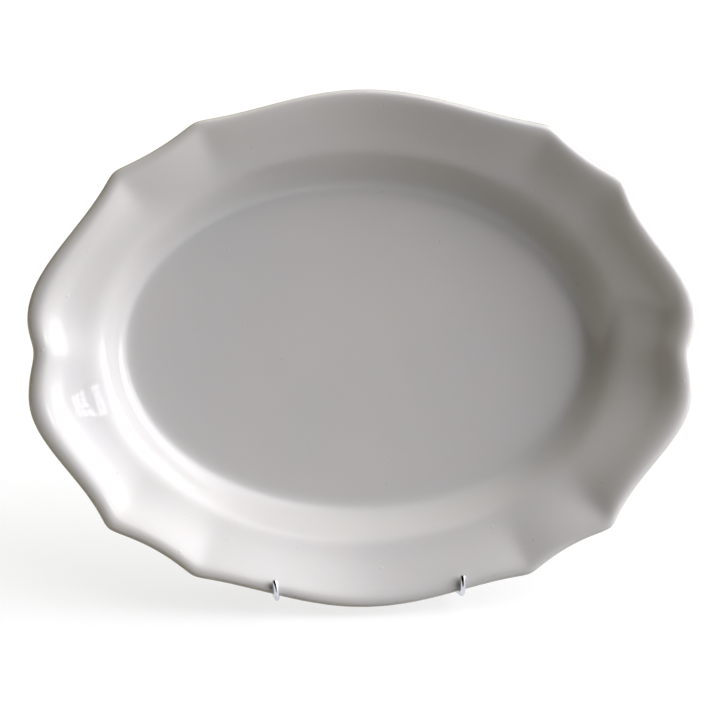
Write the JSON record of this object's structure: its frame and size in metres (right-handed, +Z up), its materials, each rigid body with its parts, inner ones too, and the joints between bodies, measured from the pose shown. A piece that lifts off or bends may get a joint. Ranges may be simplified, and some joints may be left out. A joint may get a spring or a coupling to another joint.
{
  "type": "china serving platter",
  "caption": "Oval glazed serving platter with a scalloped everted rim, standing on a folding wire display easel with hooked feet.",
  "frame": {"origin": "middle of the assembly's underside, where the easel's feet stand on the table", "axes": "+X across the platter to the viewer's right, +Y away from the viewer, the platter faces -Y and leans back, +Z up"},
  "size_m": [0.407, 0.168, 0.3028],
  "materials": {
    "glazed_china": "gloss",
    "chrome_wire": "polished"
  },
  "bodies": {
    "easel": {"front_frame": "chrome_wire", "pivot_cross_wire": "chrome_wire", "lower_cross_wire": "chrome_wire"},
    "rear_leg": {"rear_leg": "chrome_wire"},
    "platter": {"platter": "glazed_china"}
  },
  "joints": [
    {"name": "leg_fold", "type": "hinge", "parent": "easel", "child": "rear_leg", "pos_m": [-0.0009, 0.02153, 0.18008], "axis": [-1, 0, 0], "range_deg": [0, 36]},
    {"name": "platter_lift", "type": "slide", "parent": "easel", "child": "platter", "axis": [0, 0.309, 0.9511], "range_m": [0, 0.29]}
  ]
}
